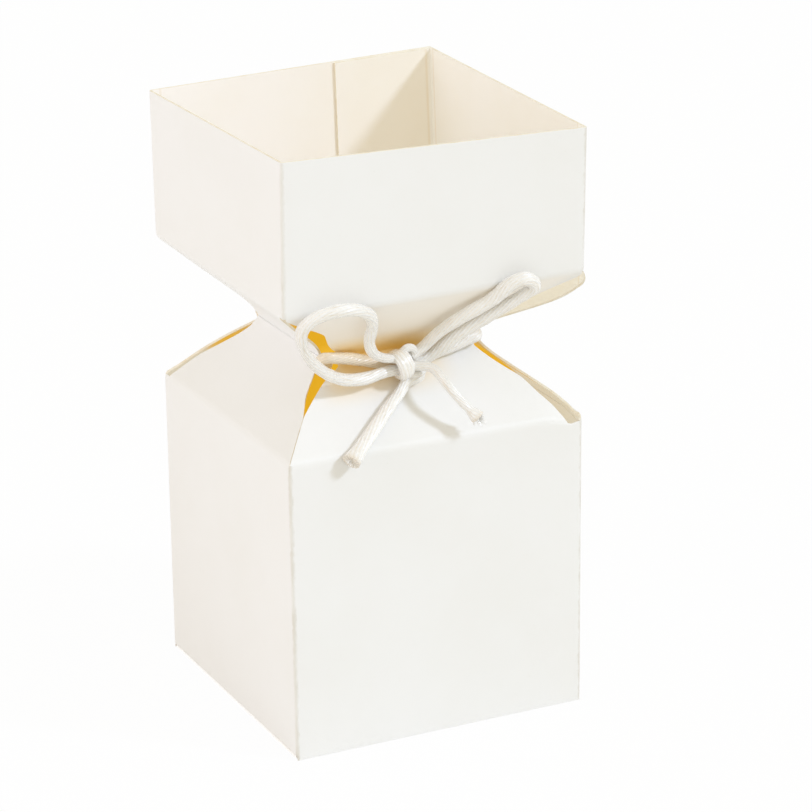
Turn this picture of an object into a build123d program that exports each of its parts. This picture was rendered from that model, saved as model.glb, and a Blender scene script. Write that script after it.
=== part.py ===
from build123d import *
import os
from math import cos, radians, sin, sqrt, tan

# A paperboard favor box folded from one blank: a square lower box, a waist drawn in by eight
# tapered panels, and an open collar. A satin cord is threaded round the waist and tied in a bow.
# The origin is the middle of the base on the table, +Z is up and the bow faces -Y.

# Carton, in millimetres and degrees
box_width = 63.5
wall_height = 61.8
collar_height = 30.1
taper_length = 21.4
taper_lean = 45.0
board = 0.5
crease_gap = 0.04

# Corner cut-outs between the tapered panels
waist_width = 29.5
waist_notch = 3.0
corner_relief = 1.1
lower_edge_bow = -0.8
upper_edge_bow = 0.6

# Glued lap inside the back right corner
glue_flap_width = 22.5
glue_flap_inset = 2.0
glue_flap_slant = 4.0

# Tuck end that closes the base
base_side_gap = 0.4
tuck_length = 13.0
tuck_lean = 8.0
tuck_gap = 0.3
tuck_side_gap = 1.0
tuck_side_taper = 3.0
dust_length = 24.0
dust_gap = 0.15
dust_swing_room = 0.06
dust_front_setback = 13.0
dust_back_setback = 3.0
dust_slant = 4.0

# Cord
cord_diameter = 1.9
cord_gap = 0.1
wrap_rise = 1.15
wrap_edge_room = 0.3
wrap_dip = 1.6
wrap_dip_out = 0.2
wrap_end_gap = 0.05
bow_x = -2.8
knot_width = 4.0
knot_depth = 3.6
knot_height = 6.0
knot_drop = 1.7
knot_rounding = 1.5
arc_share = 0.45

# Routes of the bow: across the front, out from the waist crease, up from the waist crease
left_loop_route = [
    (-3.7, 6.2, 0.1),
    (-9.8, 8.4, 1.6),
    (-13.2, 11.0, 6.0),
    (-13.0, 14.0, 11.2),
    (-16.0, 17.0, 16.0),
    (-21.5, 17.9, 17.6),
    (-27.0, 17.2, 16.8),
    (-29.6, 15.4, 13.2),
    (-28.4, 12.6, 7.6),
    (-24.4, 9.8, 2.4),
    (-18.6, 7.6, -1.6),
    (-12.4, 7.0, -2.5),
    (-7.6, 6.6, -1.8),
    (-3.7, 6.0, -2.1),
]
right_loop_route = [
    (-1.6, 6.2, 0.2),
    (1.4, 6.2, 1.8),
    (3.0, 9.0, 5.6),
    (7.0, 12.3, 9.4),
    (12.0, 15.0, 12.6),
    (15.0, 17.4, 16.6),
    (18.6, 18.4, 17.4),
    (21.2, 17.6, 14.8),
    (19.0, 16.2, 12.2),
    (12.8, 12.2, 7.4),
    (6.5, 9.0, 3.8),
    (3.4, 5.9, -0.4),
    (-1.6, 5.6, -1.9),
]
left_tail_route = [
    (-2.9, 6.4, -4.3),
    (-4.4, 7.6, -5.9),
    (-9.0, 10.3, -8.6),
    (-13.6, 13.6, -11.7),
    (-18.0, 16.5, -14.6),
]
right_tail_route = [
    (-1.2, 7.6, -1.3),
    (2.0, 8.6, -1.9),
    (3.6, 11.0, -4.8),
    (5.4, 13.8, -7.9),
    (7.6, 16.6, -10.6),
]

# Worked out from the sizes above
half = box_width / 2
lean = radians(taper_lean)
waist_depth = taper_length * sin(lean) + board * cos(lean)
taper_rise = taper_length * cos(lean) - board * sin(lean)
waist_z = wall_height + taper_rise
collar_fold_z = waist_z + taper_rise
top_z = collar_fold_z + collar_height
fold_mitre = board * tan(lean / 2)
crease_y = -(half - waist_depth) - board / cos(lean)
dust_z = board + dust_gap
cord_radius = cord_diameter / 2
wrap_x = waist_width / 2 + cord_radius + cord_gap
wrap_out = wrap_rise * tan(lean) + (cord_radius + cord_gap) / cos(lean) + wrap_edge_room
turns = {"front": 0, "right": 90, "back": 180, "left": 270}
nodes = {}


# The plan of each wall: mitred at the corners, apart from the lapped back right one
wall_plans = {
    "front": [(-half, -half), (half, -half), (half - board, board - half), (board - half, board - half)],
    "left": [(-half, -half), (board - half, board - half), (board - half, half - board), (-half, half)],
    "back": [(-half, half), (board - half, half - board), (half, half - board), (half, half)],
    "right": [
        (half, -half),
        (half, half - board),
        (half - board, half - 2 * board),
        (half - board, board - half),
    ],
}
glue_flap_plan = [
    (half, half - board),
    (half - glue_flap_width, half - board),
    (half - glue_flap_width, half - 2 * board),
    (half - board, half - 2 * board),
]


def slab(section, side):
    """A cross-section in Y and Z, run across the front of the box and turned to one side."""
    across = extrude(Plane.YZ * Polygon(*section, align=None), amount=half, both=True)
    return Rot(0, 0, turns[side]) * across


def column(plan):
    """A plan shape run from well below the base to well above the collar."""
    return extrude(Polygon(*plan, align=None), amount=2 * top_z, both=True)


def wall(side, bottom_outer, bottom_inner, top_outer, top_inner):
    """One upright wall, its top and bottom edges mitred where they fold."""
    section = [
        (-half, bottom_outer),
        (board - half, bottom_inner),
        (board - half, top_inner),
        (-half, top_outer),
    ]
    return slab(section, side) & column(wall_plans[side])


def glue_flap(bottom, top):
    """The lap that is glued to the inside of the back wall, with slanted ends."""
    tip = half - glue_flap_width
    face = [(half, bottom), (half, top), (tip, top - glue_flap_slant), (tip, bottom + glue_flap_slant)]
    through = extrude(Plane.XZ * Polygon(*face, align=None), amount=box_width, both=True)
    return column(glue_flap_plan) & through


def taper(side, is_upper):
    """One tapered panel, from its fold on a wall to the waist crease."""
    edge_bow = upper_edge_bow if is_upper else lower_edge_bow
    fold_half = half - corner_relief
    waist_half = waist_width / 2
    notch = taper_length - waist_notch
    chord = Vector(waist_half - fold_half, notch)
    inward = Vector(-chord.Y, chord.X).normalized() * edge_bow
    middle = Vector((fold_half + waist_half) / 2, notch / 2) + inward
    outline = [
        Line((-fold_half, 0), (fold_half, 0)),
        ThreePointArc((fold_half, 0), (middle.X, middle.Y), (waist_half, notch)),
        Line((waist_half, notch), (waist_half, taper_length)),
        Line((waist_half, taper_length), (-waist_half, taper_length)),
        Line((-waist_half, taper_length), (-waist_half, notch)),
        ThreePointArc((-waist_half, notch), (-middle.X, middle.Y), (-fold_half, 0)),
    ]
    blank = Pos(0, 0, -2 * board) * extrude(make_face(outline), amount=3 * board)
    section = [
        (crease_gap, 0),
        (taper_length - board * tan(lean) - crease_gap, 0),
        (taper_length - crease_gap, -board),
        (fold_mitre + crease_gap, -board),
    ]
    flat = blank & extrude(Plane.YZ * Polygon(*section, align=None), amount=half, both=True)
    leaning = Plane(origin=(0, -half, wall_height), x_dir=(1, 0, 0), z_dir=(0, -cos(lean), sin(lean)))
    panel = leaning * flat
    if is_upper:
        panel = mirror(panel, about=Plane.XY.offset(waist_z))
    return Rot(0, 0, turns[side]) * panel


def base_flaps():
    """The base flap and the tuck flap that stands up inside the front wall."""
    tilt = radians(tuck_lean)
    along = Vector(sin(tilt), cos(tilt))
    through = Vector(cos(tilt), -sin(tilt))
    fold_outer = Vector(board + tuck_gap - half, 0)
    fold_inner = fold_outer + through * board + along * (board * (1 + sin(tilt)) / cos(tilt))
    flap_section = [
        (half - crease_gap, 0),
        (half - board - crease_gap, board),
        (fold_inner.X, fold_inner.Y),
        (fold_outer.X, fold_outer.Y),
    ]
    flap_half = half - base_side_gap
    flap = extrude(Plane.YZ * Polygon(*flap_section, align=None), amount=flap_half, both=True)
    tuck_corners = [
        fold_outer + along * crease_gap,
        fold_outer + along * tuck_length,
        fold_outer + along * tuck_length + through * board,
        fold_inner + along * crease_gap,
    ]
    tuck_section = [(corner.X, corner.Y) for corner in tuck_corners]
    foot = half - board - tuck_side_gap
    tip = foot - tuck_side_taper
    tuck_face = [(-foot, 0), (foot, 0), (tip, tuck_length), (-tip, tuck_length)]
    tuck = extrude(Plane.YZ * Polygon(*tuck_section, align=None), amount=half, both=True)
    tuck = tuck & extrude(Plane.XZ * Polygon(*tuck_face, align=None), amount=box_width, both=True)
    return flap, tuck


def dust_flap(side):
    """A side flap that lies on the base flap, its heel cut back to clear that flap as it swings up."""
    heel = sqrt((board + dust_gap - dust_swing_room) ** 2 - board**2)
    section = [
        (board - half - heel, dust_z),
        (board + crease_gap - half, dust_z + board),
        (dust_length - half, dust_z + board),
        (dust_length - half, dust_z),
    ]
    hand = -1 if side == "left" else 1
    front = dust_front_setback - half
    back = half - dust_back_setback
    tip = half - dust_length
    plan = [
        (hand * half, front),
        (hand * tip, front + dust_slant),
        (hand * tip, back - dust_slant),
        (hand * half, back),
    ]
    return slab(section, side) & column(plan)


def arc_radii(points):
    """The largest arc that each corner's two runs leave room for."""
    radii = []
    for before, corner, after in zip(points, points[1:], points[2:]):
        arriving = corner - before
        leaving = after - corner
        half_turn = radians(arriving.get_angle(leaving)) / 2
        radii.append(arc_share * min(arriving.length, leaving.length) / tan(half_turn))
    return radii


def cord_tube(name, points, radii=None):
    """A length of cord along straight runs joined by tangent arcs."""
    radii = radii or arc_radii(points)
    path = FilletPolyline(*points, radius=radii)
    section = Plane(origin=path @ 0, z_dir=path % 0) * Circle(cord_radius)
    tube = sweep(section, path=path)
    share = tube.volume / (section.area * path.length)
    print(name, "length", round(path.length, 1), "volume share", round(share, 4))
    print(name, "radii", [round(radius, 1) for radius in radii])
    return tube


def at_waist(point):
    """A place given across, out from and up from the front waist crease."""
    across, out, up = point
    return Vector(across, crease_y - out, waist_z + up)


# Lower box
wall_top_inner = wall_height - fold_mitre
nodes["front_wall"] = wall("front", 0, 0, wall_height, wall_top_inner)
nodes["back_wall"] = wall("back", 0, board, wall_height, wall_top_inner)
for side in ("left", "right"):
    nodes[f"{side}_wall"] = wall(side, dust_z, dust_z + board, wall_height, wall_top_inner)
nodes["lower_glue_flap"] = glue_flap(dust_z + glue_flap_inset, wall_height - glue_flap_inset)

# Waist panels and collar
for side in turns:
    nodes[f"{side}_lower_taper"] = taper(side, False)
    nodes[f"{side}_upper_taper"] = taper(side, True)
    nodes[f"collar_{side}"] = wall(side, collar_fold_z, collar_fold_z + fold_mitre, top_z, top_z)
nodes["collar_glue_flap"] = glue_flap(collar_fold_z + glue_flap_inset, top_z)

# Base
nodes["base_flap"], nodes["base_tuck_flap"] = base_flaps()
for side in ("left", "right"):
    nodes[f"dust_flap_{side}"] = dust_flap(side)

# Cord round the waist: outside the front and back panels, inside the left and right ones
dip_out = wrap_out + wrap_dip_out
wrap_front_route = [
    at_waist((-wrap_x, crease_y + wrap_end_gap, wrap_rise)),
    at_waist((-wrap_x, wrap_out, wrap_rise)),
    at_waist((bow_x, dip_out, -wrap_dip)),
    at_waist((wrap_x, wrap_out, wrap_rise)),
    at_waist((wrap_x, crease_y + wrap_end_gap, wrap_rise)),
]
dip_radius = arc_radii(wrap_front_route)[1]
wrap_front_radii = [cord_diameter, dip_radius, cord_diameter]
nodes["cord_wrap_front"] = cord_tube("cord_wrap_front", wrap_front_route, wrap_front_radii)
wrap_back_route = [
    Vector(-wrap_x, wrap_end_gap, waist_z + wrap_rise),
    Vector(-wrap_x, wrap_out - crease_y, waist_z + wrap_rise),
    Vector(wrap_x, wrap_out - crease_y, waist_z + wrap_rise),
    Vector(wrap_x, wrap_end_gap, waist_z + wrap_rise),
]
nodes["cord_wrap_back"] = cord_tube("cord_wrap_back", wrap_back_route, [cord_diameter, cord_diameter])

# Bow
knot_out = dip_out + cord_radius + cord_gap + knot_depth / 2
knot_block = Box(knot_width, knot_depth, knot_height)
knot_block = fillet(knot_block.edges(), knot_rounding)
nodes["bow_knot"] = Pos(at_waist((bow_x, knot_out, -knot_drop))) * knot_block
bow_routes = {
    "bow_loop_left": left_loop_route,
    "bow_loop_right": right_loop_route,
    "bow_tail_left": left_tail_route,
    "bow_tail_right": right_tail_route,
}
for name, route in bow_routes.items():
    nodes[name] = cord_tube(name, [at_waist(point) for point in route])

print("waist z", round(waist_z, 3), "collar fold z", round(collar_fold_z, 3), "top z", round(top_z, 3))
print("waist axis depth", round(waist_depth, 3), "front crease y", round(crease_y, 3))

os.makedirs("parts", exist_ok=True)
for name, solid in nodes.items():
    export_step(solid, f"parts/{name}.step")
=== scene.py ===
import bmesh
import bpy
from math import cos, exp, pi, radians, sin, tan
from mathutils import Matrix, Vector


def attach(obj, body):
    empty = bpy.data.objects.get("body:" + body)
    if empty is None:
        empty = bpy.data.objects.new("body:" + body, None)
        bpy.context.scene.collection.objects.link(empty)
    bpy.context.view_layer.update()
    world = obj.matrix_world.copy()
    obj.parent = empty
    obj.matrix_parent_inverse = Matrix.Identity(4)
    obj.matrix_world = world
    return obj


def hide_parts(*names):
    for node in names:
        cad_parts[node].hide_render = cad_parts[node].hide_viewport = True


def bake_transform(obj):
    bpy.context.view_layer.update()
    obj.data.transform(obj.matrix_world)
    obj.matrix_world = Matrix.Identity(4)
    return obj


# A white paperboard favor box with a drawn-in waist, tied with a satin cord in a bow.
# Metres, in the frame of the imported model: the base stands on zero and the bow faces -Y.

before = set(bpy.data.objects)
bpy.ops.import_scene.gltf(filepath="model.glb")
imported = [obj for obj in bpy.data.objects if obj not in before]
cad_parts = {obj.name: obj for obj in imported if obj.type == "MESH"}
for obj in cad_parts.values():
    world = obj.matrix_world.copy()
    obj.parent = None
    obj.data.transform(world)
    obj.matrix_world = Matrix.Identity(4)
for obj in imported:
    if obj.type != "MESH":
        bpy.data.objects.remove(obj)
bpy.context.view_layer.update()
scene = bpy.context.scene
mm = 0.001
print("frame loaded")

def linkObject(name, data):
    thing = bpy.data.objects.new(name, data)
    scene.collection.objects.link(thing)
    return thing

def clamp(value, low=0, high=1):
    return min(max(value, low), high)

def eased(share):
    return share * share * (3 - 2 * share)

def plug(tree, slot, value):
    if isinstance(value, Wire):
        tree.links.new(value.socket, slot)
    elif slot.type == "RGBA" and len(value) == 3:
        slot.default_value = (*value, 1)
    else:
        slot.default_value = value

class Wire:
    # one socket, whose arithmetic adds Math nodes
    def __init__(self, tree, socket):
        self.tree = tree
        self.socket = socket

    def math(self, operation, first, second=None):
        node = self.tree.nodes.new("ShaderNodeMath")
        node.operation = operation
        plug(self.tree, node.inputs[0], first)
        if second is not None:
            plug(self.tree, node.inputs[1], second)
        return Wire(self.tree, node.outputs[0])

    def __abs__(self):
        return self.math("ABSOLUTE", self)

    def cos(self):
        return self.math("COSINE", self)

    def atLeast(self, other):
        return self.math("MAXIMUM", self, other)

for word, operation in {"add": "ADD", "sub": "SUBTRACT", "mul": "MULTIPLY", "truediv": "DIVIDE"}.items():
    setattr(Wire, f"__{word}__", lambda self, other, kind=operation: self.math(kind, self, other))
    setattr(Wire, f"__r{word}__", lambda self, other, kind=operation: self.math(kind, other, self))

class Bench:
    # adds nodes to one tree, with the values of one look
    def __init__(self, tree, look=None):
        self.tree = tree
        self.look = look

    def node(self, kind, sockets=None, **settings):
        node = self.tree.nodes.new(kind)
        for name, value in settings.items():
            setattr(node, name, value)
        for name, value in (sockets or {}).items():
            slot = next(each for each in node.inputs if each.identifier == name)
            plug(self.tree, slot, value)
        return {each.identifier: Wire(self.tree, each) for each in node.outputs}

    def first(self, kind, sockets=None, **settings):
        return next(iter(self.node(kind, sockets, **settings).values()))

    def objectPlace(self):
        return self.node("ShaderNodeTexCoord")["Object"]

    def attribute(self, name):
        return self.node("ShaderNodeAttribute", attribute_name=name)

    def axes(self, place):
        return self.node("ShaderNodeSeparateXYZ", {"Vector": place})

    def noise(self, place, scale, detail=3.0, roughness=0.55):
        sockets = {"Vector": place, "Scale": scale, "Detail": detail, "Roughness": roughness}
        return self.first("ShaderNodeTexNoise", sockets)

    def stretched(self, place, scale):
        return self.first("ShaderNodeMapping", {"Vector": place, "Scale": scale})

    def ease(self, value, low, high):
        sockets = {"Value": value, "From Min": low, "From Max": high}
        return self.first("ShaderNodeMapRange", sockets, interpolation_type="SMOOTHSTEP")

    def grain(self, place, name):
        return self.noise(place, *self.look[name])

    def zone(self, value, name):
        return self.ease(value, *self.look[name])

    def mix(self, share, first, second):
        sockets = {"Factor_Float": share, "A_Color": first, "B_Color": second}
        return self.node("ShaderNodeMix", sockets, data_type="RGBA")["Result_Color"]

    def bump(self, height, strength, distance):
        sockets = {"Height": height, "Strength": strength, "Distance": distance}
        return self.first("ShaderNodeBump", sockets)

    def close(self, shader):
        self.node("ShaderNodeOutputMaterial", {"Surface": shader})

    def closePrincipled(self, sockets):
        self.close(self.first("ShaderNodeBsdfPrincipled", sockets))

def newFinish(name, look):
    material = bpy.data.materials.new(name)
    material.use_nodes = True
    material.node_tree.nodes.clear()
    return material, Bench(material.node_tree, look)

def closeBoard(bench, colour, glow, roughness, gloss, normal):
    bench.closePrincipled({
        "Base Color": colour,
        "Emission Color": glow,
        "Emission Strength": 1.0,
        "Roughness": roughness,
        "Specular IOR Level": gloss,
        "Normal": normal,
    })

# Camera at the photograph's viewing angle
cameraSettings = {
    "azimuth": -26.093,
    "elevation": 20.02,
    "roll": -0.819,
    "distance": 0.70079,
    "across": 0.00688,  # how far the box's foot lies off the middle of the picture
    "above": 0.0553,
    "lens": 149.72,
    "sensor": 36.0,
    "nearest": 0.05,
    "farthest": 30.0,
}

def addCamera(settings):
    turn, rise, roll = (radians(settings[key]) for key in ("azimuth", "elevation", "roll"))
    back = Vector((sin(turn) * cos(rise), -cos(turn) * cos(rise), sin(rise)))
    level = Vector((0, 0, 1)).cross(back).normalized()
    upward = back.cross(level)
    right = level * cos(roll) + upward * sin(roll)
    up = upward * cos(roll) - level * sin(roll)
    place = right * settings["across"] + up * settings["above"] + back * settings["distance"]
    data = bpy.data.cameras.new("photoCamera")
    data.lens = settings["lens"]
    data.sensor_width = settings["sensor"]
    data.clip_start = settings["nearest"]
    data.clip_end = settings["farthest"]
    camera = linkObject("photoCamera", data)
    turned = Matrix((right, up, back)).transposed().to_4x4()
    camera.matrix_world = Matrix.Translation(place) @ turned
    scene.camera = camera

addCamera(cameraSettings)
print("camera set")

carton = {
    "half": 31.75 * mm,
    "wallTop": 61.8 * mm,
    "waist": 76.579 * mm,
    "collarFold": 91.357 * mm,
    "top": 121.457 * mm,
    "board": 0.5 * mm,
    "taperLength": 21.4 * mm,
    "cornerRound": 0.62 * mm,  # outer radius of the upright creases
    "foldRound": 2.6 * mm,  # of the folds above and below the waist
    "waistRound": 0.9 * mm,
    "hingeRound": 0.12 * mm,  # of the base flap's hinge, kept sharp so that it stays closed
    "flapRound": 0.55 * mm,  # of the other folds at the bottom
    "leastRound": 0.05 * mm,
    "cutChamfer": 0.05 * mm,
    "dustRise": 0.65 * mm,
    "sharpFrom": 32,  # degrees
    "columns": 34,  # across a wall or a taper
}

# White coat outside. Each noise is (scale, detail, roughness), each zone is where a tint starts and is full
coatLook = {
    "white": (0.885, 0.878, 0.862),
    "whiteCloud": (0.87, 0.86, 0.835),
    "crack": (0.66, 0.62, 0.53),
    "waistPaintedShade": (0.92, 0.68, 0.27),  # painted warm shade in the base colour at the waist crease, under the bow
    # painted glow there, as if warm light came through the board
    "waistPaintedGlow": (0.09, 0.045, 0.0),
    "upperPaintedShade": (0.885, 0.81, 0.68),  # painted warm shade on the upper tapers, fainter
    # painted glow on the upper tapers
    "upperPaintedGlow": (0.075, 0.05, 0.02),
    "fibre": (2400, 4, 0.6),
    "cloud": (36, 4),
    "wander": (620, 3),
    "wanderWidth": 1.1 * mm,
    "broken": (210, 3),
    "speck": (1500, 2),
    "crease": (0.28 * mm, 0.84 * mm),
    "front": (-2 * mm, 6 * mm),
    "overWaist": (-0.4 * mm, 0.6 * mm),
    "taperTop": (13.5 * mm, 15.5 * mm),
    "upperFade": (1 * mm, 15 * mm),
    "waistReach": (0.0, 7.0 * mm),
    "belowReach": 0.84,  # the painted shade reaches farther below the waist
    "rightEnd": (11 * mm, -1 * mm),
    "leftEnd": (-25 * mm, -15 * mm),
}

def makeCoatedBoard(look):
    material, bench = newFinish("coatedBoard", look)
    place = bench.objectPlace()
    axes = bench.axes(place)
    fibre = bench.grain(bench.stretched(place, (1, 1, 0.35)), "fibre")
    cloud = bench.grain(place, "cloud")
    wander = bench.grain(place, "wander") - 0.5
    fromFold = bench.attribute("foldDistance")["Fac"]
    crack = 1 - bench.zone(fromFold + wander * look["wanderWidth"], "crease")
    broken = bench.ease(bench.grain(bench.stretched(place, (1, 1, 0.5)), "broken"), 0.38, 0.62)
    crackShare = crack * (0.2 + 0.42 * broken)
    paper = bench.mix(bench.ease(cloud, 0.35, 0.75), look["white"], look["whiteCloud"])
    speck = bench.ease(bench.grain(place, "speck"), 0.7, 0.78) * 0.1
    paper = bench.mix(speck, paper, look["crack"])
    paper = bench.mix(crackShare, paper, look["crack"])
    # painted warm shade and painted glow by the waist, on the front only
    rise = axes["Z"] - carton["waist"]
    front = bench.zone(axes["Y"] * -1 - abs(axes["X"]), "front")
    above = bench.zone(rise, "overWaist")
    paintedTaperGlowMask = above * front * (1 - bench.zone(rise, "taperTop"))
    # painted warm shade on the upper tapers
    upper = above * front * (1 - bench.zone(rise, "upperFade")) * 0.5
    paper = bench.mix(upper, paper, look["upperPaintedShade"])
    reach = abs(rise) * (look["belowReach"] + above * (1 - look["belowReach"]))
    paintedWaistMask = (1 - bench.zone(reach, "waistReach")) * front
    paintedWaistMask = paintedWaistMask * bench.zone(axes["X"], "rightEnd")
    paintedWaistMask = paintedWaistMask * above.atLeast(bench.zone(axes["X"], "leftEnd") * 0.85)
    # painted warm shade and painted glow near the waist crease
    paper = bench.mix(paintedWaistMask, paper, look["waistPaintedShade"])
    # painted glow on the upper tapers, then at the waist crease
    glow = bench.mix(paintedTaperGlowMask, (0, 0, 0), look["upperPaintedGlow"])
    glow = bench.mix(paintedWaistMask, glow, look["waistPaintedGlow"])
    normal = bench.bump(fibre * 0.5 + cloud * 0.25 - crackShare, 0.22, 0.03 * mm)
    closeBoard(bench, paper, glow, 0.4 + fibre * 0.16 + crackShare * 0.2, 0.35, normal)
    return material

# Cream lining, painted gold with painted glow where the gaps at the waist show it, for light bounced round
# inside the box
liningLook = {
    "cream": (0.91, 0.897, 0.872),
    "creamCloud": (0.895, 0.875, 0.83),
    "score": (0.8, 0.72, 0.58),
    "paintedGold": (0.38, 0.27, 0.06),
    "paintedGoldCloud": (0.35, 0.24, 0.05),
    "paintedGoldGlow": (0.55, 0.31, 0.011),
    "slitPaintedShade": (0.4, 0.38, 0.34),  # painted shade on the cream seen through the slits at the right and the rear corner
    # painted light on the same slits
    "slitPaintedLight": (0.43, 0.42, 0.35),
    "taperLight": (0.13, 0.115, 0.07),  # this and the next three are painted light, for light through the upper tapers and through the collar's walls
    "rightLight": (0.062, 0.06, 0.05),
    "backLight": (0.052, 0.032, 0.002),
    "leftLight": (0.066, 0.054, 0.054),
    "fibre": (1900, 5, 0.65),
    "cloud": (55, 4),
    "goldTop": (68 * mm, 76 * mm),
    "goldFoot": (35 * mm, 20 * mm),
    "corner": (45 * mm, 51 * mm),  # x and y added
    "offDiagonal": (60e-6, 220e-6),  # x times y
    "outer": (22 * mm, 28 * mm),
    "cornerFoot": (42 * mm, 50 * mm),
    "slitSide": (8 * mm, 16 * mm),
    "slitTop": (66 * mm, 68.5 * mm),
    "seam": (57.5 * mm, 60 * mm),
    "scoreAt": 61.0 * mm,
    "scoreWidth": (0.1 * mm, 0.4 * mm),
    "taperRight": (4 * mm, 14 * mm),
    "taperFoot": (76 * mm, 80 * mm),
    "collarFoot": (89 * mm, 94 * mm),
    "leftToBack": (-10 * mm, 18 * mm),
    "backToRight": (29.8 * mm, 30.6 * mm),
}

def makeLining(look):
    material, bench = newFinish("creamLining", look)
    place = bench.objectPlace()
    axes = bench.axes(place)
    x, y, z = (axes[key] for key in ("X", "Y", "Z"))
    fibre = bench.grain(bench.stretched(place, (1, 1, 0.3)), "fibre")
    cloud = bench.ease(bench.grain(place, "cloud"), 0.3, 0.75)
    fromMiddle = abs(x) + abs(y)
    overWaist = bench.zone(z, "taperFoot")
    inCollar = bench.zone(z, "collarFoot")
    # the corners stay cream
    outer = bench.zone(abs(x).atLeast(abs(y)), "outer")
    offDiagonal = bench.zone(x * y * -1, "offDiagonal") * outer
    nearCorner = bench.zone(fromMiddle, "corner").atLeast(offDiagonal)
    nearCorner = nearCorner * bench.zone(z, "cornerFoot")
    toRight = bench.zone(x, "slitSide")
    nearCorner = nearCorner * (1 - toRight * bench.zone(z, "slitTop"))
    slit = nearCorner * toRight.atLeast(bench.zone(y, "slitSide")) * (1 - overWaist)
    # painted light, for light that comes through the board
    light = bench.mix(bench.zone(x, "leftToBack"), look["leftLight"], look["backLight"])
    light = bench.mix(bench.zone(x, "backToRight"), light, look["rightLight"])
    light = bench.mix(inCollar, (0, 0, 0), light)
    throughTaper = (0.5 + bench.zone(x, "taperRight") * 0.5) * overWaist * (1 - inCollar)
    light = bench.mix(throughTaper, light, look["taperLight"])
    # painted light in the slits
    light = bench.mix(slit, light, look["slitPaintedLight"])
    seam = bench.zone(fromMiddle, "seam").atLeast(bench.zone(z, "goldFoot"))
    deep = (1 - bench.zone(z, "goldTop")) * (1 - nearCorner) * (1 - seam)
    cream = bench.mix(cloud, look["cream"], look["creamCloud"])
    score = 1 - bench.zone(abs(fromMiddle - look["scoreAt"]), "scoreWidth")
    cream = bench.mix(score * 0.4, cream, look["score"])
    # painted shade in the slits
    cream = bench.mix(slit, cream, look["slitPaintedShade"])
    # painted gold and painted glow deep in the box, for bounced light
    paintedGold = bench.mix(cloud, look["paintedGold"], look["paintedGoldCloud"])
    paper = bench.mix(deep, cream, paintedGold)
    glow = bench.mix(deep, light, look["paintedGoldGlow"])
    closeBoard(bench, paper, glow, 0.7 + fibre * 0.2, 0.25, bench.bump(fibre, 0.3, 0.04 * mm))
    return material

# Bare board at the cut edges
edgeLook = {
    "pulp": (0.91, 0.87, 0.76),
    "pulpCore": (0.86, 0.78, 0.62),
    "fibre": (3200, 4, 0.7),
    "blotch": (380, 3),
    "foot": (2 * mm, 0.8 * mm),
    # painted white at the edge's foot, where it lies in shade by the floor
    "footPaintedWhite": (0.885, 0.878, 0.862),
    "footPaintedGlow": (0.2, 0.21, 0.22),  # painted floor light on the base's edge
}

def makeCutEdge(look):
    material, bench = newFinish("cutEdge", look)
    place = bench.objectPlace()
    fibre = bench.grain(place, "fibre")
    blotch = bench.ease(bench.grain(place, "blotch"), 0.35, 0.7)
    foot = bench.zone(bench.axes(place)["Z"], "foot")
    pulp = bench.mix(blotch, look["pulp"], look["pulpCore"])
    # painted white and painted light at the foot of the edge
    paper = bench.mix(foot, pulp, look["footPaintedWhite"])
    glow = bench.mix(foot, (0, 0, 0), look["footPaintedGlow"])
    closeBoard(bench, paper, glow, 0.75 + fibre * 0.2, 0.2, bench.bump(fibre, 0.5, 0.05 * mm))
    return material

boardFinishes = [makeCoatedBoard(coatLook), makeLining(liningLook), makeCutEdge(edgeLook)]
print("board finishes made")

# Satin cord
cordLook = {
    "thread": (0.97, 0.96, 0.937),
    "threadWarm": (0.935, 0.9, 0.83),
    "grooveShadeAndTone": (0.72, 0.6, 0.43),
    "shade": (0.86, 0.68, 0.42),  # where the ring lies in the warm shadow under the left loop
    "shadeDeep": (-23 * mm, -21 * mm),
    "shadeAcross": (4 * mm, -5 * mm),
    "strands": 12,  # bundles round the cord, and fine threads round it
    "threads": 40,
    "streakLength": 55,
    "streak": (4.4, 4, 0.7),
    "broken": (3.6, 3),
    "tip": (0.988, 1.0),  # share of the length from which the cut end darkens
}

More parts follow.
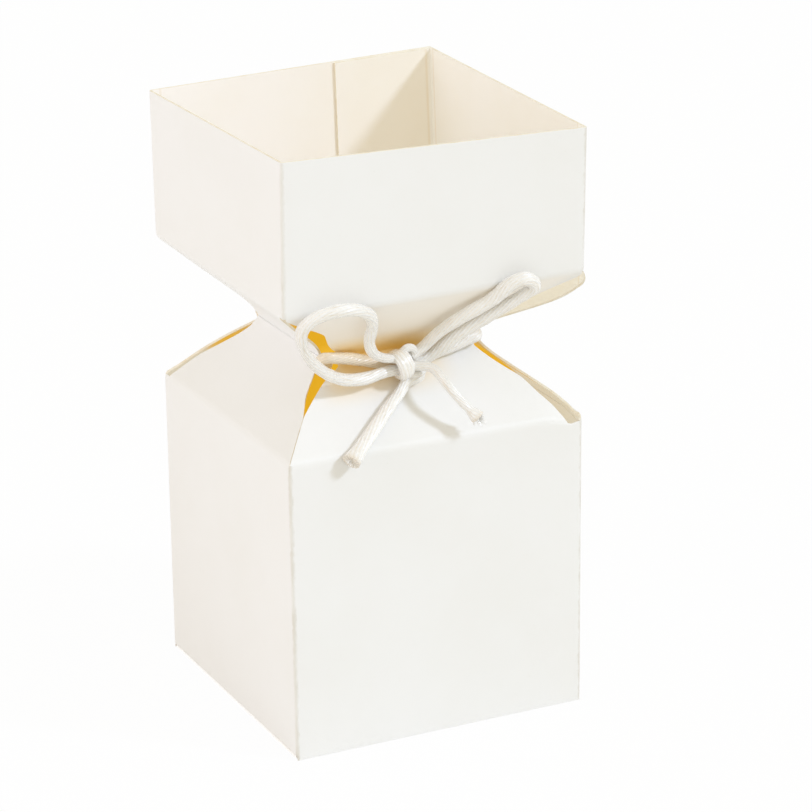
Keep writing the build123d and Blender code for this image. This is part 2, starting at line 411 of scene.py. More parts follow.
def makeSatin(look):
    material, bench = newFinish("satinCord", look)
    axes = bench.axes(bench.attribute("ring")["Vector"])
    along, lead, tip = (bench.attribute(name)["Fac"] for name in ("along", "lead", "tip"))
    angle = axes["X"].math("ARCTAN2", axes["Y"], axes["X"])
    spots = {"X": axes["X"], "Y": axes["Y"], "Z": along * look["streakLength"]}
    place = bench.first("ShaderNodeCombineXYZ", spots)
    streak = bench.grain(place, "streak")
    broken = bench.grain(bench.stretched(place, (1, 1, 9)), "broken")
    turned = angle + lead + (streak - 0.5) * 0.3
    strands = (turned * look["strands"]).cos() * 0.5 + 0.5
    threads = (turned * look["threads"]).cos() * 0.5 + 0.5
    fill = bench.ease(threads * 0.18 + strands * 0.22 + streak * 0.7 + broken * 0.4, 0.45, 1.0)
    colour = bench.mix(fill, look["threadWarm"], look["thread"])
    # painted shade between the strands; the same colour also darkens random streaks and the cut end
    sunk = 1 - bench.ease(strands, 0.0, 0.4)
    colour = bench.mix(sunk * bench.ease(broken, 0.35, 0.65) * 0.35, colour, look["grooveShadeAndTone"])
    colour = bench.mix(bench.ease(streak, 0.47, 0.3) * 0.5, colour, look["grooveShadeAndTone"])
    colour = bench.mix(bench.zone(tip, "tip") * 0.55, colour, look["grooveShadeAndTone"])
    where = bench.axes(bench.objectPlace())
    shaded = bench.zone(where["Y"], "shadeDeep") * bench.zone(where["X"], "shadeAcross")
    colour = bench.mix(shaded * 0.7, colour, look["shade"])
    bench.closePrincipled({
        "Base Color": colour,
        "Roughness": 0.2 + (1 - fill) * 0.2,
        "Specular IOR Level": 1.0,
        "Sheen Weight": 0.4,
        "Sheen Roughness": 0.3,
        "Coat Weight": bench.ease(fill, 0.2, 0.9),
        "Coat Roughness": 0.2,
        "Normal": bench.bump(threads * 0.3 + streak * 1.2 + broken * 0.6, 0.6, 0.16 * mm),
    })
    return material

# What the sheath of a cord takes, unless its piece says otherwise
sheathPlain = {
    "Radius": 1.0 * mm,
    "Flatness": 0.08,
    "Turn": 0.0,
    "Twist": 40.0,
    "Lay": 270.0,
    "Strands": cordLook["strands"],
    "Strand Depth": 0.04,
    "Wobble": 0.1,
    "Fibres": 0,
    "Fibre Length": 1.0 * mm,
    "Fibre Spread": 0.5,
    "Seed": 1,
    "Finish": makeSatin(cordLook),
}
sheathShape = {
    "step": 0.22 * mm,
    "sides": 96,
    "driftRate": 260,
    "seedStep": 7.3,
    "lobes": 3,  # broad swells beside the strands
    "lobeTurn": 0.4,
    "lobeHeight": 0.7,
    "tuftWidth": 0.75,
    "hair": {
        "Vertices": 5, "Side Segments": 4,
        "Radius Top": 0.04 * mm, "Radius Bottom": 0.1 * mm, "Depth": 1.0 * mm,
    },
    "hairLengths": {"Min_001": 0.55, "Max_001": 1.15},
}

def makeSheathTree(shape):
    # follows a line of points with a cord of twisted strands and an optional tuft at its end
    tree = bpy.data.node_groups.new("cordSheath", "GeometryNodeTree")
    tree.interface.new_socket("Line", in_out="INPUT", socket_type="NodeSocketGeometry")
    for name, value in sheathPlain.items():
        kind = {float: "Float", int: "Int"}.get(type(value), "Material")
        tree.interface.new_socket(name, in_out="INPUT", socket_type="NodeSocket" + kind)
    tree.interface.new_socket("Cord", in_out="OUTPUT", socket_type="NodeSocketGeometry")
    bench = Bench(tree)
    entry = tree.nodes.new("NodeGroupInput")
    given = {each.name: Wire(tree, each) for each in entry.outputs}

    def mark(geometry, name, value, kind="FLOAT"):
        sockets = {"Geometry": geometry, "Name": name, "Value": value}
        return bench.first("GeometryNodeStoreNamedAttribute", sockets, data_type=kind, domain="POINT")

    def marked(name, kind="FLOAT"):
        return bench.first("GeometryNodeInputNamedAttribute", {"Name": name}, data_type=kind)

    def scaled(vector, scale):
        sockets = {"Vector": vector, "Scale": scale}
        return bench.first("ShaderNodeVectorMath", sockets, operation="SCALE")

    def pushed(base, push, far):
        sockets = {"Vector": base, "Vector_001": scaled(push, far)}
        return bench.first("ShaderNodeVectorMath", sockets, operation="ADD")

    line = bench.first("GeometryNodeMeshToCurve", {"Mesh": given["Line"]})
    sampling = {"Curve": line, "Length": shape["step"]}
    line = bench.first("GeometryNodeResampleCurve", sampling, mode="LENGTH")
    run = bench.node("GeometryNodeSplineParameter")
    along = run["Length"]
    tilting = {"Curve": line, "Tilt": given["Turn"] + along * given["Twist"]}
    line = bench.first("GeometryNodeSetCurveTilt", tilting)
    line = mark(line, "along", along)
    line = mark(line, "lead", along * given["Lay"])
    line = mark(line, "tip", run["Factor"])
    # thickness along the line
    driftAt = along * shape["driftRate"] + given["Seed"] * shape["seedStep"]
    noiseAt = {"W": driftAt, "Scale": 1.0, "Detail": 2.0}
    drift = bench.first("ShaderNodeTexNoise", noiseAt, noise_dimensions="1D") - 0.5
    thickness = marked("thick") * (1 + drift * given["Wobble"] * 2)
    # the section: a round squeezed a little flat
    circle = {"Resolution": shape["sides"], "Radius": 1.0}
    section = bench.first("GeometryNodeCurvePrimitiveCircle", circle, mode="RADIUS")
    at = bench.first("GeometryNodeInputPosition")
    axes = bench.axes(at)
    squeezed = {
        "X": axes["X"] * given["Radius"] * (1 + given["Flatness"]),
        "Y": axes["Y"] * given["Radius"] * (1 - given["Flatness"]),
    }
    moving = {
        "Geometry": mark(section, "ring", at, "FLOAT_VECTOR"),
        "Position": bench.first("ShaderNodeCombineXYZ", squeezed),
    }
    outline = bench.first("GeometryNodeSetPosition", moving)
    sweeping = {"Curve": line, "Profile Curve": outline, "Scale": thickness, "Fill Caps": True}
    tube = bench.first("GeometryNodeCurveToMesh", sweeping)
    # strands stand out from the round
    lead = marked("lead")
    sides = bench.axes(marked("ring", "FLOAT_VECTOR"))
    angle = sides["X"].math("ARCTAN2", sides["Y"], sides["X"])
    lobe = (angle * shape["lobes"] + lead * shape["lobeTurn"]).cos() * shape["lobeHeight"]
    ridge = ((angle + lead) * given["Strands"]).cos() + lobe
    normal = bench.first("GeometryNodeInputNormal")
    offset = scaled(normal, ridge * given["Strand Depth"] * given["Radius"])
    tube = bench.first("GeometryNodeSetPosition", {"Geometry": tube, "Offset": offset})
    # loose fibres at the cut end
    end = bench.node("GeometryNodeSampleCurve", {"Curves": line, "Factor": 1.0}, mode="FACTOR")
    box = {"Min": (-1, -1, -1), "Max": (1, 1, 1), "Seed": given["Seed"]}
    scatter = bench.first("FunctionNodeRandomValue", box, data_type="FLOAT_VECTOR")
    root = pushed(end["Position"], scatter, given["Radius"] * shape["tuftWidth"])
    way = pushed(end["Tangent"], scatter, given["Fibre Spread"])
    points = bench.first("GeometryNodePoints", {"Count": given["Fibres"], "Position": root})
    fibre = bench.first("GeometryNodeMeshCone", shape["hair"], fill_type="NGON")
    aim = bench.first("FunctionNodeAlignRotationToVector", {"Vector": way}, axis="Z")
    lengths = {**shape["hairLengths"], "Seed": given["Seed"]}
    stretch = bench.node("FunctionNodeRandomValue", lengths, data_type="FLOAT")["Value_001"]
    sizes = {"X": 1.0, "Y": 1.0, "Z": stretch * given["Fibre Length"] / mm}
    size = bench.first("ShaderNodeCombineXYZ", sizes)
    planting = {"Points": points, "Instance": fibre, "Rotation": aim, "Scale": size}
    tuft = bench.first("GeometryNodeInstanceOnPoints", planting)
    tuft = bench.first("GeometryNodeRealizeInstances", {"Geometry": tuft})
    joined = tree.nodes.new("GeometryNodeJoinGeometry")
    plug(tree, joined.inputs[0], tuft)
    plug(tree, joined.inputs[0], tube)
    both = Wire(tree, joined.outputs[0])
    smooth = bench.first("GeometryNodeSetShadeSmooth", {"Geometry": both})
    whole = bench.first("GeometryNodeRealizeInstances", {"Geometry": smooth})
    dressing = {"Geometry": whole, "Material": given["Finish"]}
    dressed = bench.first("GeometryNodeSetMaterial", dressing)
    plug(tree, tree.nodes.new("NodeGroupOutput").inputs[0], dressed)
    return tree

sheathTree = makeSheathTree(sheathShape)

def evaluated(holder):
    bpy.context.view_layer.update()
    ready = holder.evaluated_get(bpy.context.evaluated_depsgraph_get())
    mesh = bpy.data.meshes.new_from_object(ready)
    bpy.data.objects.remove(holder)
    return mesh

def smoothLine(name, points):
    # a NURBS spline through the route, read back as a fine line
    data = bpy.data.curves.new(name, "CURVE")
    data.dimensions = "3D"
    data.resolution_u = 16
    spline = data.splines.new("NURBS")
    spline.points.add(len(points) - 1)
    for knotPoint, place in zip(spline.points, points):
        knotPoint.co = (*place, 1)
    spline.order_u = 3
    spline.use_endpoint_u = True
    line = evaluated(linkObject(name, data))
    bpy.data.curves.remove(data)
    return line

def markThickness(line, shares):
    # thickness at shares of the length, eased between them
    run = [0.0]
    for first, second in zip(line.vertices, line.vertices[1:]):
        run.append(run[-1] + (second.co - first.co).length)
    mark = line.attributes.new("thick", "FLOAT", "POINT")
    for number, far in enumerate(run):
        share = far / run[-1]
        later = next(index for index, stop in enumerate(shares) if share <= stop[0])
        (low, thin), (high, wide) = shares[max(later - 1, 0)], shares[later]
        step = (share - low) / (high - low) if later else 0
        mark.data[number].value = thin + (wide - thin) * eased(step)

def sheathe(name, line, changes, shares=((0, 1), (1.001, 1))):
    markThickness(line, shares)
    holder = linkObject(name + "Line", line)
    modifier = holder.modifiers.new("sheath", "NODES")
    modifier.node_group = sheathTree
    values = {**sheathPlain, **changes}
    for item in sheathTree.interface.items_tree:
        if item.in_out == "INPUT" and item.name in values:
            modifier[item.identifier] = values[item.name]
    mesh = evaluated(holder)
    mesh.name = name
    return linkObject(name, mesh)

waistFront = 16.971  # from the middle out to the front waist crease
waistLevel = 76.579

def atWaist(points):
    # across, out from and up from the front waist crease, in millimetres
    return [Vector((x, -waistFront - out, waistLevel + up)) * mm for x, out, up in points]

# The two halves of the bow, each a loop that runs through the knot into its tail. "thick" is (share of the
# length, thickness)
leftHalf = {
    "loop": [
        (-3.7, 6.2, 0.1), (-9.8, 8.4, 1.6), (-13.2, 11.0, 6.0), (-13.0, 14.0, 11.0), (-16.0, 17.0, 15.0),
        (-21.3, 17.9, 16.4), (-26.8, 17.2, 15.5), (-29.3, 15.4, 12.4), (-27.2, 12.6, 7.2),
        (-22.8, 9.8, 2.0), (-17.4, 7.6, -1.6), (-12.0, 7.0, -2.5), (-7.6, 6.6, -1.8), (-3.7, 6.0, -2.1),
    ],
    "throughKnot": [(-1.6, 6.0, -2.1), (0.2, 6.3, -2.7), (0.0, 6.8, -4.0), (-1.6, 6.8, -4.2)],
    "tail": [
        (-3.0, 6.9, -4.6), (-4.4, 7.6, -5.9), (-9.2, 10.3, -8.6), (-14.4, 13.6, -11.8), (-19.7, 16.6, -14.9),
    ],
    "sheath": {"Seed": 3, "Lay": 190.0, "Fibres": 26, "Fibre Length": 0.7 * mm, "Fibre Spread": 0.4},
    "thick": [
        (0.0, 0.95), (0.12, 1.0), (0.28, 1.25), (0.36, 1.15), (0.43, 1.03), (0.52, 1.25),
        (0.6, 1.22), (0.7, 1.0), (0.8, 1.05), (0.92, 1.28), (0.965, 1.35), (1.001, 1.8),
    ],
    "length": 0.103,
    "tailFrom": -3.5,
    "tailTo": -14.6,
    "nodes": ("bow_loop_left", "bow_tail_left"),
}
rightHalf = {
    "loop": [
        (-1.6, 6.2, 0.2), (1.4, 6.2, 1.8), (3.1, 9.0, 5.4), (7.2, 12.3, 9.1), (12.2, 15.0, 12.3),
        (14.4, 17.2, 15.8), (17.6, 18.2, 16.7), (20.0, 17.8, 14.5), (17.9, 16.2, 12.6),
        (12.4, 12.4, 8.2), (6.5, 9.0, 3.9), (3.4, 5.9, -0.4), (-1.6, 5.6, -1.9),
    ],
    "throughKnot": [(-3.2, 5.6, -2.3), (-4.2, 6.4, -1.7), (-3.2, 7.4, -1.1)],
    "tail": [
        (-1.1, 8.2, -1.2), (1.2, 10.4, -1.1), (1.9, 14.2, -3.5), (4.1, 16.2, -6.9), (6.9, 17.7, -10.1),
    ],
    "sheath": {"Seed": 8, "Fibres": 60, "Fibre Length": 1.2 * mm, "Fibre Spread": 0.6},
    "thick": [
        (0.0, 1.1), (0.3, 1.28), (0.6, 1.25), (0.72, 1.05), (0.8, 0.85), (0.965, 0.86), (1.001, 1.4),
    ],
    "length": 0.086,
    "tailFrom": -2.2,
    "tailTo": -10.6,
    "nodes": ("bow_loop_right", "bow_tail_right"),
}

def makeBowHalf(name, half):
    route = atWaist(half["loop"] + half["throughKnot"] + half["tail"])
    line = smoothLine(name, route)
    piece = sheathe(name, line, half["sheath"], half["thick"])
    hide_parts(*half["nodes"])
    tailFrom, tailTo = atWaist([(-2.8, 6.0, half["tailFrom"]), (-2.8, 6.0, half["tailTo"])])
    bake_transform(piece)

makeBowHalf("bowHalfLeft", leftHalf)
makeBowHalf("bowHalfRight", rightHalf)

# The knot: a broad band over the front, a hump behind its top and a strand tucked under it
knotParts = {
    "knotBand": {
        "route": [
            (-4.3, 4.8, 0.4), (-4.4, 7.4, 1.3), (-4.0, 8.6, 0.2), (-3.5, 8.7, -1.4), (-3.2, 7.6, -2.7),
            (-3.2, 5.4, -2.6),
        ],
        "sheath": {
            "Radius": 1.5 * mm, "Flatness": 0.22, "Twist": 0.0, "Lay": 60.0, "Seed": 11, "Wobble": 0.04,
        },
    },
    "knotHump": {
        "route": [(-3.9, 6.0, -0.4), (-3.8, 6.6, 1.6), (-2.3, 6.9, 2.6), (-1.0, 6.7, 1.4), (-1.1, 6.2, -0.8)],
        "sheath": {"Radius": 0.85 * mm, "Seed": 12},
    },
    "knotUnder": {
        "route": [(-2.8, 6.4, -3.0), (-1.2, 7.3, -3.4), (0.6, 7.0, -2.7), (1.4, 5.6, -1.5)],
        "sheath": {"Radius": 0.95 * mm, "Seed": 13},
    },
}

def makeKnot(parts):
    for name, part in parts.items():
        piece = sheathe(name, smoothLine(name, atWaist(part["route"])), part["sheath"])
        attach(piece, "bow")
    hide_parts("bow_knot")

makeKnot(knotParts)

# The ring round the waist, in a front and a back half that meet inside the side panels.
# Each route is (x, y, rise over the waist) in millimetres
wrapRise = 1.15
wrapSink = -1.8
wraps = {
    "waistCordFront": {
        "route": [
            (-15.6, -0.05, wrapSink), (-15.6, -14.0, wrapSink), (-16.4, -16.6, wrapSink + 0.4),
            (-18.9, -18.6, 1.0), (-18.6, -20.5, 1.9), (-16.0, -20.6, 1.5), (-13.2, -20.4, 0.9),
            (-8.0, -20.2, -0.8), (-2.8, -20.1, -1.7), (3.0, -20.0, -1.6), (9.6, -20.2, -0.1),
            (12.4, -20.2, 0.6), (14.7, -20.1, 0.85), (15.3, -17.2, 1.0), (15.8, -14.6, wrapRise),
            (15.8, -0.05, wrapRise),
        ],
        "bodies": ("lower_box", "front_lower_taper"),
        "spanY": -16.3,
        "node": "cord_wrap_front",
        "length": 0.0758,
        "sheath": {"Radius": 1.12 * mm, "Seed": 21, "Lay": 460.0, "Strand Depth": 0.05},
    },
    "waistCordBack": {
        "route": [
            (-15.6, 0.05, wrapSink), (-15.6, 14.0, wrapSink), (-15.4, 16.6, wrapSink + 0.8),
            (-15.0, 19.2, 0.5), (-13.2, 19.9, wrapRise), (0.0, 19.9, wrapRise - 0.2),
            (13.2, 19.9, wrapRise), (15.9, 19.9, wrapRise), (16.0, 17.2, wrapRise),
            (15.8, 14.6, wrapRise), (15.8, 0.05, wrapRise),
        ],
        "bodies": ("lower_box", "back_lower_taper"),
        "spanY": 16.3,
        "node": "cord_wrap_back",
        "length": 0.0697,
        "sheath": {"Radius": 1.05 * mm, "Seed": 22, "Lay": 460.0, "Strand Depth": 0.05},
    },
}

def makeWrap(name, wrap):
    route = [Vector((x, y, waistLevel + rise)) * mm for x, y, rise in wrap["route"]]
    line = smoothLine(name, route)
    piece = sheathe(name, line, wrap["sheath"])
    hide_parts(wrap["node"])
    wrap["spanY"] * mm
    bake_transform(piece)

for wrapName, wrapValues in wraps.items():
    makeWrap(wrapName, wrapValues)
print("cords laid")

# Folded panels. Each border gives rows of (place, depth) on the outer and on the inner face,
# from the border inwards, so that two panels meet on the mitre of their fold
def foldRows(angle, radius, inward=False, steps=5):
    board = carton["board"]
    lean = radians(angle) / 2
    inside = max(radius - board, carton["leastRound"])
    rows = []
    for step in range(steps + 1):
        turn = lean * (1 - step / steps)
        reach = tan(lean) - sin(turn)
        drop = 1 - cos(turn)
        wide = (radius * reach, radius * drop)
        tight = (board * tan(lean) + inside * reach, inside * drop)
        if inward:
            rows.append((tight[0], -tight[1], wide[0], board - wide[1]))
        else:
            rows.append((*wide, tight[0], board + tight[1]))
    return rows

def cutBorder(lean=0):
    board = carton["board"]
    chamfer = carton["cutChamfer"]
    return [(0, chamfer, lean, board - chamfer), (chamfer, 0, lean + chamfer, board)]

def hipBorder():
    # cut back on the inside, so that the two panels can touch on the outside
    return cutBorder(carton["board"] * sin(radians(45)))

def spread(low, high, count):
    return [low + (high - low) * (step + 1) / (count + 1) for step in range(count)]

def panelRows(borders, length, between):
    # (outer place, outer depth, inner place, inner depth) from one end of a panel to the other
    first, last = borders
    foot = [(length - a, b, length - c, d) for a, b, c, d in reversed(last)]
    within = [place for place in between if first[-1][0] < place < foot[0][0]]
    return first + [(place, 0, place, carton["board"]) for place in within] + foot

# A box folded by hand is never quite square: shifts of its corners at six heights, in millimetres
# (front left, front right, back left, back right), and a place where the cut-out bites into a wall
racking = {
    "width": 63.5,
    "levels": [
        (0.0, [(0.4, 1.1, 0), (-0.15, 0.05, 0), (0.4, -0.15, 0), (0, 0, 0)]),
        (61.8, [(0.0, 0.2, 0.5), (0, 0, 0), (0.5, -0.4, -0.3), (0, 0, 0)]),
        (68.5, [(-0.85, 0.1, 0.25), (0, 0, 0), (0.27, -0.22, -0.16), (0, 0, 0)]),
        (76.579, [(0, 0, 0), (0, 0, 0), (0, 0, 0), (0, 0, 0)]),
        (91.357, [(-0.5, 0.1, 0.1), (0.3, -0.1, 0.0), (-0.15, -0.1, -0.4), (0, 0, 0)]),
        (121.457, [(-0.06, 0.22, 0.48), (0.5, -0.67, -1.04), (-0.26, 0.05, -0.2), (-0.61, 0.68, 0.93)]),
    ],
    "bite": (30.8, -31.75, 61.8),
    "biteLift": -1.8,
    "biteAcross": 4.5,
    "biteUp": 9.0,
    "biteEnd": 32.0,
    "biteFade": 1.2,
}

def settle(point):
    spot = point / mm
    levels = racking["levels"]
    level = 0
    while level < len(levels) - 2 and spot.z > levels[level + 1][0]:
        level += 1
    (low, lowShifts), (high, highShifts) = levels[level], levels[level + 1]
    rise = clamp((spot.z - low) / (high - low))
    right = clamp(spot.x / racking["width"] + 0.5)
    deep = clamp(spot.y / racking["width"] + 0.5)
    weights = [(1 - right) * (1 - deep), right * (1 - deep), (1 - right) * deep, right * deep]
    shift = Vector((0, 0, 0))
    for weight, lowShift, highShift in zip(weights, lowShifts, highShifts):
        shift += weight * (Vector(lowShift) * (1 - rise) + Vector(highShift) * rise)
    x, y, z = racking["bite"]
    away = ((spot.x - x) ** 2 + (spot.y - y) ** 2) / racking["biteAcross"] ** 2
    fade = max(1 - abs(spot.z - z) / racking["biteUp"], 0) ** 2
    side = clamp((racking["biteEnd"] - spot.x) / racking["biteFade"])
    shift.z += racking["biteLift"] * exp(-away) * fade * side
    return point + shift * mm

def makePanel(name, panel):
    board = carton["board"]
    origin, along = panel["origin"], panel["along"]
    across = panel.get("across", acrossFront)
    normal = across.cross(along)
    left, right = panel.get("sides", (cutBorder(), cutBorder()))
    body = panel.get("body", panel["node"])
    sway = panel.get("sway", lambda u, v: 0)
    turned = Matrix.Rotation(radians(panel.get("turn", 0)), 3, "Z")
    rows = panelRows(panel["ends"], panel["length"], panel["rows"])
    folded = [len(each) > 2 for each in (left, right)]
    builder = bmesh.new()
    foldDistance = builder.verts.layers.float.new("foldDistance")
    layers = ([], [])
    for outerPlace, outerDepth, innerPlace, innerDepth in rows:
        for face, place, depth in ((0, outerPlace, outerDepth), (1, innerPlace, innerDepth - board)):
            low, high = panel["edges"](place)
            near = [(low + each[2 * face], each[2 * face + 1] - board * face) for each in left]
            far = [(high - each[2 * face], each[2 * face + 1] - board * face) for each in reversed(right)]
            start, stop = near[-1][0], far[0][0]
            middle = [(start + (stop - start) * share, 0) for share in spread(0, 1, panel["columns"])]
            line = []
            for u, sink in near + middle + far:
                sunk = board * face + depth + sink + sway(u, place)
                point = turned @ (origin + across * u + along * place - normal * sunk)
                corner = builder.verts.new(settle(point))
                corner[foldDistance] = min(u - low if folded[0] else 1, high - u if folded[1] else 1)
                line.append(corner)
            layers[face].append(line)
    # both faces, then the rim; a cut border shows bare board
    outer, inner = layers
    tall, wide = len(rows) - 1, len(outer[0]) - 1
    cutRows = [len(each) == 2 for each in panel["ends"]]
    cutColumns = [len(each) == 2 for each in (left, right)]
    for i in range(tall):
        for j in range(wide):
            onRim = (i == 0 and cutRows[0]) or (i == tall - 1 and cutRows[1])
            onRim = onRim or (j == 0 and cutColumns[0]) or (j == wide - 1 and cutColumns[1])
            for face, grid in enumerate(layers):
                quad = (grid[i][j], grid[i][j + 1], grid[i + 1][j + 1], grid[i + 1][j])
                made = builder.faces.new(quad if face == 0 else tuple(reversed(quad)))
                made.material_index = 2 if onRim else face
    rim = [(0, j) for j in range(wide)] + [(i, wide) for i in range(tall)]
    rim += [(tall, j) for j in range(wide, 0, -1)] + [(i, 0) for i in range(tall, 0, -1)]
    cutRim = [cutRows[0]] * wide + [cutColumns[1]] * tall + [cutRows[1]] * wide + [cutColumns[0]] * tall
    for (i, j), (k, m), isCut in zip(rim, rim[1:] + rim[:1], cutRim):
        made = builder.faces.new((outer[k][m], outer[i][j], inner[i][j], inner[k][m]))
        made.material_index = 2 if isCut else 0
    bmesh.ops.recalc_face_normals(builder, faces=builder.faces)
    mesh = bpy.data.meshes.new(name)
    builder.to_mesh(mesh)
    builder.free()
    mesh.polygons.foreach_set("use_smooth", [True] * len(mesh.polygons))
    mesh.set_sharp_from_angle(angle=radians(carton["sharpFrom"]))
    for finish in boardFinishes:
        mesh.materials.append(finish)
    piece = linkObject(name, mesh)
    if "bend" in panel:
        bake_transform(piece)
    else:
        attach(piece, body)
    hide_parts(panel["node"])

turns = {"front": 0, "right": 90, "back": 180, "left": 270}
acrossFront = Vector((1, 0, 0))
upright = Vector((0, 0, 1))

def steadyEdges(low, high):
    return lambda place: (low, high)

def makeWalls():
    half, board = carton["half"], carton["board"]
    corner = foldRows(90, carton["cornerRound"])
    waistward = foldRows(45, carton["foldRound"])
    tall = carton["top"] - carton["collarFold"]
    for side, turn in turns.items():
        both = {
            "turn": turn,
            "along": upright,
            "edges": steadyEdges(-half, half - board if side == "right" else half),
            "sides": (cutBorder() if side == "back" else corner, corner),
            "columns": carton["columns"],
        }
        footFold = foldRows(90, carton["hingeRound" if side == "back" else "flapRound"])
        lift = carton["dustRise"] if side in ("left", "right") else 0
        height = carton["wallTop"] - lift
        makePanel(side + "WallBoard", {
            **both,
            "node": side + "_wall",
            "body": "lower_box",
            "origin": Vector((0, -half, lift)),
            "length": height,
            "ends": (cutBorder() if side == "front" else footFold, waistward),
            "rows": spread(0, height, 18),
        })
        makePanel(side + "CollarBoard", {
            **both,
            "node": "collar_" + side,
            "body": "collar",
            "origin": Vector((0, -half, carton["collarFold"])),
            "length": tall,
            "ends": (waistward, cutBorder()),
            "rows": spread(0, tall, 12),
        })

makeWalls()

# Tapered panels between the walls and the waist. Each edge is (distance from the fold, half width)
# in millimetres, named for the corner that it faces
taperEdges = {
    "plain": [
        (0, 31.6), (0.8, 31.4), (1.8, 30.5), (3, 28.7), (6, 26.4), (9.2, 23.75), (13, 20.3), (18.4, 14.75),
    ],
    "waisted": [
        (0, 31.0), (0.8, 30.7), (1.8, 29.6), (3, 27.8), (6, 24.8), (9.2, 21.9), (13, 18.8), (18.4, 14.75),
    ],
    "backLeft": [
        (0, 31.6), (0.8, 31.3), (1.8, 30.4), (3, 29.3), (6, 27.1), (9.2, 24.6), (13, 21.0), (18.4, 14.75),
    ],
    "leftRear": [
        (0, 29.4), (1.5, 28.3), (3.8, 26.8), (7.5, 24.2), (12.1, 19.7), (16, 16.2), (18.4, 14.75),
    ],
    "hollow": [
        (0, 29.0), (1.5, 28.3), (3.8, 27.3), (7.5, 25.1), (12.1, 20.8), (16, 16.7), (18.4, 14.75),
    ],
    "frontNear": [
        (0, 31.6), (0.7, 31.15), (4.1, 28.75), (7.5, 26.35), (10.2, 24.4), (13.5, 21.5), (16.7, 18.3),
        (19.2, 14.75),
    ],
    "frontRight": [
        (0, 28.7), (1.4, 27.65), (3.8, 26.05), (6.15, 24.4), (8.3, 23.2), (10.5, 21.85), (12.7, 19.7),
        (15, 17.55), (18.6, 14.75),
    ],
    "leftNear": [
        (0, 31.6), (0.7, 31.15), (3.9, 28.9), (7.2, 26.55), (9.6, 24.85), (11.5, 22.2), (13.7, 19.7),
        (17.4, 17.0), (19.3, 15.7),
    ],
    "frontUpperNear": [
        (0, 31.2), (0.8, 30.8), (2.6, 28.8), (5.6, 25.1), (7.4, 22.8), (9.5, 20.6), (12, 19.4),
        (14.3, 18.3), (16.8, 16.6), (18.8, 14.75),
    ],
    "leftUpperNear": [
        (0, 29.9), (1.2, 28.7), (3, 27.0), (5.5, 24.6), (9.2, 21.2), (13, 18.7), (17.4, 16.6), (19.3, 15.7),
    ],
    "upperRight": [
        (0, 31.4), (1.2, 31.3), (2.1, 30.8), (4, 28.1), (7.1, 24.0), (9.2, 21.4), (12, 19.6), (15, 17.3),
        (18.4, 14.75),
    ],
}
# the edge on the panel's left and on its right, as someone facing that side sees them
taperSides = {
    "front_lower": ("frontNear", "frontRight"),
    "right_lower": ("plain", "hollow"),
    "back_lower": ("hollow", "backLeft"),
    "left_lower": ("leftRear", "leftNear"),
    "front_upper": ("frontUpperNear", "upperRight"),
    "right_upper": ("waisted", "waisted"),
    "back_upper": ("waisted", "waisted"),
    "left_upper": ("waisted", "leftUpperNear"),
}
taperEnd = {"waistHalf": 14.75, "step": 0.5, "stepRun": 0.6, "last": 21.4, "past": 24.0}
# the right lower panel sags where the ring draws it in, most at its front edge. The line is
# (distance from the fold, rise)
rightSag = {
    "line": [
        (-1, 0), (0, 0), (1.2, 0.45), (3, 0.4), (8, -0.15), (13, -0.75), (17, -1.05), (19.5, -0.6),
        (21.4, 0), (24, 0),
    ],
    "from": 14 * mm,
    "over": 24 * mm,
}
# the left upper panel is drawn in beside the waist in the same way
leftDraw = [
    (-1, 0), (0, 0), (8, 0.3), (13, 0.6), (16.5, 0.75), (18.5, 0.55), (20.2, 0.2), (21.4, 0), (24, 0),
]
# the right upper panel bellies out, most of all at its front edge
rightBelly = {"out": 5.0 * mm, "backShare": 0.3, "from": -8.0 * mm, "to": 18.0 * mm, "peak": 0.62}

def throughPoints(points, spot):
    # a smooth line through points of (place, value)
    number = max(index for index, (far, width) in enumerate(points) if far <= spot)
    here, there = points[number], points[number + 1]
    before = points[number - 1] if number else here
    beyond = points[number + 2] if number + 2 < len(points) else there
    gap = there[0] - here[0]
    share = (spot - here[0]) / gap
    rise = gap * (there[1] - before[1]) / max(there[0] - before[0], 0.01)
    fall = gap * (beyond[1] - here[1]) / max(beyond[0] - here[0], 0.01)
    value = here[1] + share * rise
    value += share**2 * (3 * (there[1] - here[1]) - 2 * rise - fall)
    return value + share**3 * (rise + fall - 2 * (there[1] - here[1]))

def halfWidth(edge, place):
    width = max(edge[-1][1] - taperEnd["step"], taperEnd["waistHalf"])
    stops = (edge[-1][0] + taperEnd["stepRun"], taperEnd["last"], taperEnd["past"])
    points = edge + [(stop, width) for stop in stops]
    return throughPoints(points, clamp(place / mm, 0, taperEnd["last"])) * mm

def sagIn(u, v):
    front = eased(clamp((rightSag["from"] - u) / rightSag["over"]))
    return -throughPoints(rightSag["line"], clamp(v / mm, -1, taperEnd["last"])) * front * mm

def drawIn(u, v):
    return throughPoints(leftDraw, clamp(v / mm, -1, taperEnd["last"])) * mm

def bellyOut(u, v):
    share = clamp(v / carton["taperLength"])
    front = clamp((u - rightBelly["from"]) / (rightBelly["to"] - rightBelly["from"]))
    front = rightBelly["backShare"] + (1 - rightBelly["backShare"]) * front * front * (3 - 2 * front)
    return -rightBelly["out"] * front * (1 - 0.5 * share) * sin(pi * share ** rightBelly["peak"])

sways = {"right_upper": bellyOut, "right_lower": sagIn, "left_upper": drawIn}
hips = {"front_lower": (hipBorder(), cutBorder()), "left_lower": (cutBorder(), hipBorder())}

